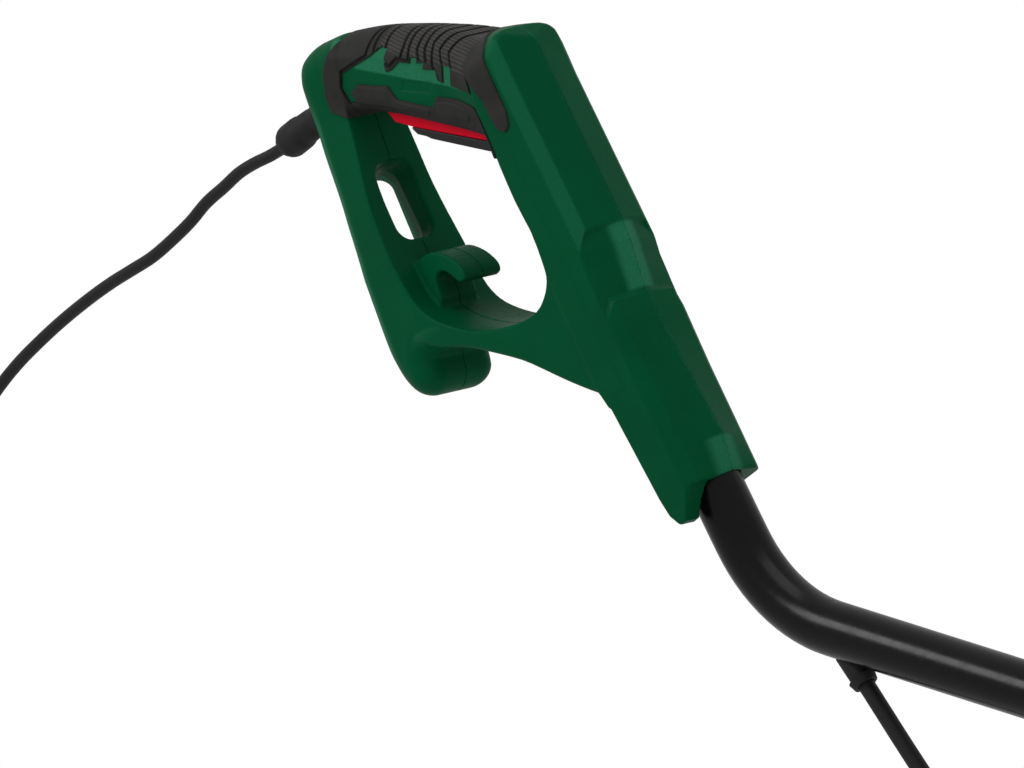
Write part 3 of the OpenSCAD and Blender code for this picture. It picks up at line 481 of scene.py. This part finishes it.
column_side = Outline(
    [(-10, 256), (-12, 200), (-14, 173), (-13, 155), (-15, 140), (-17, 120), (-19.5, 66), (-18, 58),
     (-16.9, 56.5), (-14, 4), (-12.5, -6), (-8, -14), (45, -14), (45, 205), (16.5, 252), (9, 256.5),
     (0, 257.5)])
grip_side = Outline(
    spline([(4, 249), (-4, 257), (-20, 269.4), (-35, 278.7), (-51, 287.2), (-66, 294.7), (-82, 301.2),
            (-96, 305.2), (-106, 303)], 4),
    spline([(-110, 288), (-111, 276), (-104, 268), (-82, 258), (-47.8, 232.8), (-18, 209)], 3),
    [(-9, 203), (0, 205), (2, 240)])
hook_side = Outline(
    spline([(-113, 184), (-103, 185), (-94, 183), (-86, 176), (-81, 167), (-82, 162), (-87, 162),
            (-90, 167), (-94, 172), (-99, 172.5), (-102, 168), (-103.5, 161), (-107, 157)], 3),
    [(-114, 157)])

# The column's front: a ridge on the seam, a long facet on each side of it and a narrow bevel beyond.
RIDGE_U, RIDGE_F = (-14, 1, 19, 21, 86, 106, 129, 139, 242), (14, 15.6, 19.8, 20, 16.2, 16, 21, 22, 22)
CREASE_U = (-14, 1, 23, 60, 93, 100, 122, 130, 223, 243)
CREASE_F = (5, 6, 6.4, 6.8, 8.2, 7.8, 9.2, 11, 11, 12)
BEVEL_B, BEVEL_RISE = 21, 5
WAIST = (94, 130)


def column(f, b, u):
    side = np.abs(b)
    ridge = np.interp(u, RIDGE_U, RIDGE_F)
    crease = np.interp(u, CREASE_U, CREASE_F)
    lean = np.clip(HALF - side, 0, 6) * 1.5
    in_waist = step(u, WAIST[0] + lean - 1.5, WAIST[0] + lean + 1.5) \
        - step(u, WAIST[1] + lean - 1.5, WAIST[1] + lean + 1.5)
    plain_rise = (ridge - crease) * (HALF - BEVEL_B) / HALF
    inner = crease + BEVEL_RISE + (plain_rise - BEVEL_RISE) * in_waist
    soft_side = np.sqrt(side * side + 1.0) - 0.6
    facet = ridge + (inner - ridge) * soft_side / BEVEL_B
    bevel = inner + (crease - inner) * (side - BEVEL_B) / (HALF - BEVEL_B)
    front = (f - np.minimum(facet, bevel)) * 0.9
    edge = 1.6 + 8 * step(u, 222, 248)
    body = plank(column_side(f, u), side - HALF, edge)
    body = smax(body, front, 0.9)
    body = smax(body, (u - 257.5 + 0.02 * side * side) * 0.9, 4)
    foot = np.interp(f, (-20, -3, 8, 25), (-13, -13, 1, 1))
    foot = foot + (1.5 - foot) * step(b, -12, 8)
    return smax(body, (foot - u) * 0.75, 1.6)


def loop(f, b, u):
    width = np.interp(u, (140, 191, 219, 246, 271, 300), (27, 27, 24.5, 21, 18.2, 17.5))
    width = width - 0.07 * np.maximum(-112 - f, 0) * (1 - step(u, 225, 262))
    rear = 14 - 11 * step(f, -122, -106) * (1 - step(u, 262, 276))
    body = plank(handle_back(f, u), np.abs(b) - width, rear)
    return smax(body, -loop_opening(f, u), 1.3)


def grip(f, b, u):
    width = 17.6 + 9.4 * step(f, -34, 2)
    along, height = in_grip(f, u)
    r = 8 + 7 * step(height, 16, 34)
    swell = 0.7 * np.sin(np.clip(along / 100, 0, 1) * math.pi)
    return plank(grip_side(f, u), np.abs(b) - width - swell, r)


def skin(f, b, u):
    return smin(smin(loop(f, b, u), column(f, b, u), 1.5), grip(f, b, u), 3)


def in_grip(f, u):
    """The grip's own frame: x back along its underside, y up into it."""
    ahead, up = f - GRIP_FOOT[0], u - GRIP_FOOT[1]
    return ahead * -GRIP_COS + up * GRIP_SIN, ahead * GRIP_SIN + up * GRIP_COS


def trigger_room(f, b, u, spare):
    x, y = in_grip(f, u)
    inside = np.maximum(np.maximum(-3 - x, x - 90), np.abs(y - 1) - 15)
    return np.maximum(inside, np.abs(b) - 8.5 - spare)


def box_2d(x, y, half_x, half_y, r):
    a, b = np.abs(x) - half_x + r, np.abs(y) - half_y + r
    return np.minimum(np.maximum(a, b), 0) + np.hypot(np.maximum(a, 0), np.maximum(b, 0)) - r


SLOT_U, SLOT_HALF, SLOT_R = 219, (12.5, 21), 8
name_plate = Outline([(-57, 262.5), (-37, 251.5), (-43, 247.5), (-60, 258)])


def housing(f, b, u):
    body = skin(f, b, u)
    body = smin(body, plank(hook_side(f, u), np.abs(b) - 13, 1.4), 2.2)
    flare = np.clip(-120 - f, 0, 20) * 0.24
    slot = np.maximum(box_2d(b - flare, u - SLOT_U, SLOT_HALF[0] + flare, SLOT_HALF[1], SLOT_R), f + 85)
    body = smax(body, -slot, 2.0)
    mouth = np.maximum(np.hypot(f + 3.6, b + 1.6) - 15.6, u - 10)
    socket = np.maximum(np.hypot(f, b) - 14.1, u - 69)
    body = smax(body, -np.minimum(mouth, socket), 0.6)
    body = smax(body, -trigger_room(f, b, u, 0.8), 0.8)
    plate = np.maximum(name_plate(f, u), 10 - np.abs(b))
    return body + 0.45 * (1 - step(plate, -0.6, 0.2)) * (np.abs(b) > 10)


SCREW_SPOTS = [(2, 236), (2, 160), (0, 86), (-62, 115), (-129.5, 132), (-104, 292)]


def right_half(f, b, u):
    return smax(housing(f, b, u), b + SEAM, 0.5)


def left_half(f, b, u):
    body = smax(housing(f, b, u), SEAM - b, 0.5)
    for at in SCREW_SPOTS:
        well = np.maximum(np.hypot(f - at[0], u - at[1]) - 4.2, 11 - b)
        body = smax(body, -well, 0.8)
    return body


def erosion_and_highlight_mask(f, b, u):
    """Where the green is paler. The bevels are spark-eroded grain; the waist patch and collar are partly
    eroded grain and partly painted highlight; the seam ridge, the strap's rounded back and the grip's top
    fields carry only painted highlight.
    """
    side = np.abs(b)
    crease = np.interp(u, CREASE_U, CREASE_F)
    lean = np.clip(HALF - side, 0, 6) * 1.5
    bevel = step(side, 20.2, 21.2) * step(f, crease - 0.4, crease + 0.6)
    upper = step(u, WAIST[1] + lean, WAIST[1] + lean + 0.6) * (1 - step(u, 246, 252))
    # Waist patch and collar on the down-facing front facets: partly eroded grain, partly painted
    # highlight.
    patch = step(u, 104.5, 105.5) * (1 - step(u, 138.5, 139.5)) * (1 - step(side, 6, 11)) * (f > 12)
    collar = step(u, 0, 1) * (1 - step(u, 19, 20)) * (1 - step(side, 5, 12)) * (f > 10)
    # Painted highlight: a thin pale line along the seam ridge.
    ridge = (1 - step(side, 0.2, 1.0)) * (f > 8)
    # Painted highlight: a pale band along the strap's rounded back.
    inset = np.abs(handle_back(f, u) + 8)
    strap = (1 - step(inset, 1.8, 3.6)) * step(u, 142, 158) * (1 - step(u, 268, 286))
    strap = strap * (f < -100) * (side > 10)
    # Painted light: the grip's top fields above this slanting line are made paler where light falls on
    # them.
    above = u - 270.7 + 0.706 * (f + 66.5)
    field = step(above, 0, 1) * (f > -95) * (f < -12) * step(side, 10, 12)
    marks = 0.22 * bevel * upper + 0.62 * patch + 0.55 * collar + 0.3 * ridge + 0.45 * strap + 0.6 * field
    return np.clip(marks, 0, 1)


HOUSING_LOW, HOUSING_HIGH = (-153, -29, -20), (28, 29, 314)
near_half = solid("housing_near", right_half, HOUSING_LOW, (28, 2, 314), 0.95, {"erosion_and_highlight": erosion_and_highlight_mask})
far_half = solid("housing_far", left_half, (-153, -2, -20), HOUSING_HIGH, 0.95, {"erosion_and_highlight": erosion_and_highlight_mask})
for piece, node_name in ((near_half, "housing_right"), (far_half, "housing_left")):
    paint(piece, "green")
    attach(piece, "frame")
    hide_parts(node_name)

# ---- soft overmould on the grip ---------------------------------------------------------------------

soft_area = Outline(
    [(-80, 325), (-86, 303), (-97, 298), (-104.5, 291), (-110, 281), (-110.5, 272), (-103.5, 266),
     (-99, 262), (-84, 240), (-20, 190), (-12, 198), (-11, 219), (-8, 240), (-3.5, 224),
     (-3.3, 214.5), (-2, 207), (1.5, 203.8), (6, 205.5), (8.5, 212), (9, 225), (9.5, 238),
     (10.5, 246), (4, 262), (-7, 325)])
green_field = Outline(
    [(-92, 285), (-70, 283), (-60, 283.5), (-58, 280.5), (-62.5, 276), (-64, 271), (-60, 270),
     (-53, 271), (-46, 266.5), (-44, 269), (-40.5, 267), (-42, 264.5), (-37, 262.5), (-40, 260),
     (-33, 256), (-34, 250), (-19, 238), (-9, 231), (-3.5, 224), (-3.3, 214.5), (-2, 195), (-11, 195),
     (-11, 219), (-15, 226), (-25, 235), (-39, 244), (-45, 241), (-65, 256), (-67, 264.5),
     (-86, 275.5), (-93, 274.5), (-92, 268), (-91, 267), (-96, 271), (-96.5, 279)])
green_window = Outline([(-25, 254.5), (-18.5, 250.5), (-26, 243.5), (-31, 247.5)])
long_pad = Outline([(-92, 274), (-86, 274.5), (-68, 263.5), (-66, 255.5), (-46.5, 240.5), (-49, 238.5),
                    (-72, 254.5), (-92, 267.5)])
front_pad = Outline([(-40.5, 242), (-29, 235), (-22.5, 228), (-21.5, 223.5), (-26, 222.5), (-44, 236)])
# Grooves over the top of the grip, each from its foot on the side to its head on the crown.
GROOVES = [((-96, 270), (-96, 279), (-92, 286), (-72, 284.5), (-62, 296)),
           ((-66, 284), (-58, 296)), ((-58, 281), (-52, 293)),
           ((-50, 272), (-46, 276), (-40, 288)), ((-46, 268), (-36, 285)),
           ((-39, 265), (-38, 270), (-30, 281)), ((-35, 262), (-33, 268), (-25, 278)),
           ((-33, 250), (-32, 258), (-26, 268), (-18, 272)), ((-24, 255), (-22, 262), (-12, 267)),
           ((-17, 250), (-15, 257), (-5, 262)),
           ((-63, 283), (-62, 276), (-60, 272), (-53, 273), (-47, 268.5))]


def groove_depth(f, u):
    """Distance to the nearest groove, in the side view."""
    near = None
    for chain in GROOVES:
        chain = np.array(chain, float)
        for a, b in zip(chain[:-1], chain[1:]):
            run = b - a
            t = np.clip(((f - a[0]) * run[0] + (u - a[1]) * run[1]) / (run @ run), 0, 1)
            d = (f - a[0] - run[0] * t) ** 2 + (u - a[1] - run[1] * t) ** 2
            near = d if near is None else np.minimum(near, d)
    return np.sqrt(near)


def overmould(f, b, u):
    base = skin(f, b, u)
    groove = 0.95 * (1 - step(groove_depth(f, u), 0.3, 1.1))
    raised = 0.55 * (1 - step(np.minimum(long_pad(f, u), front_pad(f, u)), -0.7, 0.1))
    outer = base - OVERMOULD + groove - raised
    windows = np.minimum(green_field(f, u), green_window(f, u))
    area = np.maximum(soft_area(f, u), -windows)
    body = smax(outer, area, 0.9)
    body = np.maximum(body, -(base + 1.2))
    return smax(body, -trigger_room(f, b, u, 0.4), 0.6)


# Painted shade: near 1 along each groove, where the soft black is darkened.
def groove_shade_mask(f, b, u):
    return 1 - step(groove_depth(f, u), 0.5, 1.3)


def ribbed(f, b, u):
    x, y = in_grip(f, u)
    return step(y, 34, 38) * step(x, 12, 16) * (1 - step(x, 80, 84))


soft = solid("grip_soft", overmould, (-114, -30, 196), (14, 30, 308), 0.56,
             {"ribs": ribbed, "groove_shade": groove_shade_mask})
paint(soft, "soft_black")
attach(soft, "frame")
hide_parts("grip_overmould")

# ---- trigger ----------------------------------------------------------------------------------------


def grip_outline(points):
    """An outline given in the grip's frame, turned into the side view's."""
    return [(GRIP_FOOT[0] - GRIP_COS * x + GRIP_SIN * y, GRIP_FOOT[1] + GRIP_SIN * x + GRIP_COS * y)
            for x, y in points]


lever_side = Outline(grip_outline([(2, 2), (14, 0.5), (64, -2.5), (78, -2.5), (85, 2.5), (81, 10),
                                   (50, 13.5), (14, 15), (2, 14)]))
pad_side = Outline(grip_outline([(0, -3), (12, -4.5), (52, -6), (56, -5.4), (62, -5.6), (66, -3.5),
                                 (66, -2.4), (14, 0.4), (2, 1.9), (0, 1)]))


def lever(f, b, u):
    return plank(lever_side(f, u), np.abs(b) - 8.5, 1.2)


def finger_pad(f, b, u):
    x, _ = in_grip(f, u)
    ridges = 0.25 * (1 + np.cos(x * 2 * math.pi / 5.2)) * step(x, 6, 10) * (1 - step(x, 48, 52))
    return plank(pad_side(f, u), np.abs(b) - 8.5, 0.7) + ridges * (np.abs(b) < 7)


red = solid("trigger_lever", lever, (-92, -10, 198), (-12, 10, 268), 0.6)
pad = solid("trigger_finger_pad", finger_pad, (-78, -10, 196), (-12, 10, 250), 0.5)
for piece, material, node_name, slot_name in ((red, "red", "trigger", "red_plastic"),
                                              (pad, "black", "trigger_pad", "black_plastic")):
    paint(piece, material)
    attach(piece, "trigger_lever")
    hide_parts(node_name)

# ---- turned pieces ----------------------------------------------------------------------------------


def turned_piece(name, profile, start, direction, sides=64):
    """A closed piece turned from (distance along, radius) pairs in millimetres."""
    axis = Vector(direction).normalized()
    across = axis.orthogonal().normalized()
    other = axis.cross(across)
    start = Vector(start)
    points, faces = [], []
    for along, radius in profile:
        for k in range(sides):
            a = 2 * math.pi * k / sides
            points.append(start + axis * (along * MM)
                          + (across * math.cos(a) + other * math.sin(a)) * (radius * MM))
    for i in range(len(profile) - 1):
        for k in range(sides):
            n = (k + 1) % sides
            faces.append((i * sides + k, i * sides + n, (i + 1) * sides + n, (i + 1) * sides + k))
    data = bpy.data.meshes.new(name)
    last = (len(profile) - 1) * sides
    faces.append(tuple(range(sides))[::-1])
    faces.append(tuple(last + k for k in range(sides)))
    data.from_pydata([tuple(p) for p in points], [], faces)
    for polygon in data.polygons:
        polygon.use_smooth = len(polygon.vertices) == 4
    data.set_sharp_from_angle(angle=math.radians(40))
    obj = bpy.data.objects.new(name, data)
    bpy.context.scene.collection.objects.link(obj)
    return obj


BOOT_START = to_row(np.array([[-122, 0, 280.5]]))[0]
BOOT_WAY = Vector((-math.cos(LEAN), 0, -math.sin(LEAN)))
boot_profile = [(0, 7.5), (17, 7.5), (18.5, 7.1), (19.5, 7.1), (21, 7.7), (27, 8.0), (30, 8.2), (31, 8.7),
                (33, 8.9), (41, 8.9), (42.5, 8.6), (44, 8.0), (45, 6.9), (46.5, 6.3), (47, 4.4), (47, 3.3)]
boot = paint(turned_piece("lead_boot", boot_profile, BOOT_START, BOOT_WAY), "rubber")
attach(boot, "frame")
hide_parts("cable_boot")

# ---- floor, light and finish ------------------------------------------------------------------------

floor_level = cad_box[0].z
bpy.ops.mesh.primitive_circle_add(vertices=96, radius=3, fill_type="NGON",
                                  location=(0, 0, floor_level - 0.001))
floor = bpy.context.object
floor.name = "floor"
floor_nodes = Nodes("pale floor")
floor_tone = floor_nodes.mix(floor_nodes.noise(3), linear((236, 236, 236)), linear((242, 242, 242)))
floor_gloss = floor_nodes.span(floor_nodes.noise(40), 0.6, 0.7)
floor_bump = floor_nodes.bump(floor_nodes.noise(300), 0.0001)
floor.data.materials.append(floor_nodes.finish(floor_tone, floor_gloss, floor_bump))


def area_light(name, way, size, watts, distance=1.8):
    """A square soft light that shines on the grip from the given direction."""
    data = bpy.data.lights.new(name, "AREA")
    data.shape = "SQUARE"
    data.size = size
    data.energy = watts
    obj = bpy.data.objects.new(name, data)
    bpy.context.scene.collection.objects.link(obj)
    way = Vector(way).normalized()
    obj.location = LOOK_AT + way * distance
    obj.rotation_mode = "QUATERNION"
    obj.rotation_quaternion = way.to_track_quat("Z", "Y")
    return obj


area_light("key", VIEW_BACK * 0.25 - VIEW_RIGHT * 0.9 + VIEW_UP * 0.5, 0.7, 12)
area_light("front", VIEW_BACK * 0.45 + VIEW_RIGHT * 0.9 - VIEW_UP * 0.25, 0.9, 8)
area_light("top", VIEW_UP + VIEW_BACK * 0.4, 1.2, 8)

world = bpy.data.worlds.new("studio")
bpy.context.scene.world = world
world.use_nodes = True
BACKDROP, AMBIENT = 1.0, 0.62
background = world.node_tree.nodes["Background"]
background.inputs["Color"].default_value = (1, 1, 1, 1)
path = world.node_tree.nodes.new("ShaderNodeLightPath")
level = world.node_tree.nodes.new("ShaderNodeMapRange")
level.inputs["To Min"].default_value, level.inputs["To Max"].default_value = AMBIENT, BACKDROP
world.node_tree.links.new(path.outputs["Is Camera Ray"], level.inputs["Value"])
world.node_tree.links.new(level.outputs[0], background.inputs["Strength"])
bpy.context.scene.view_settings.view_transform = "Standard"
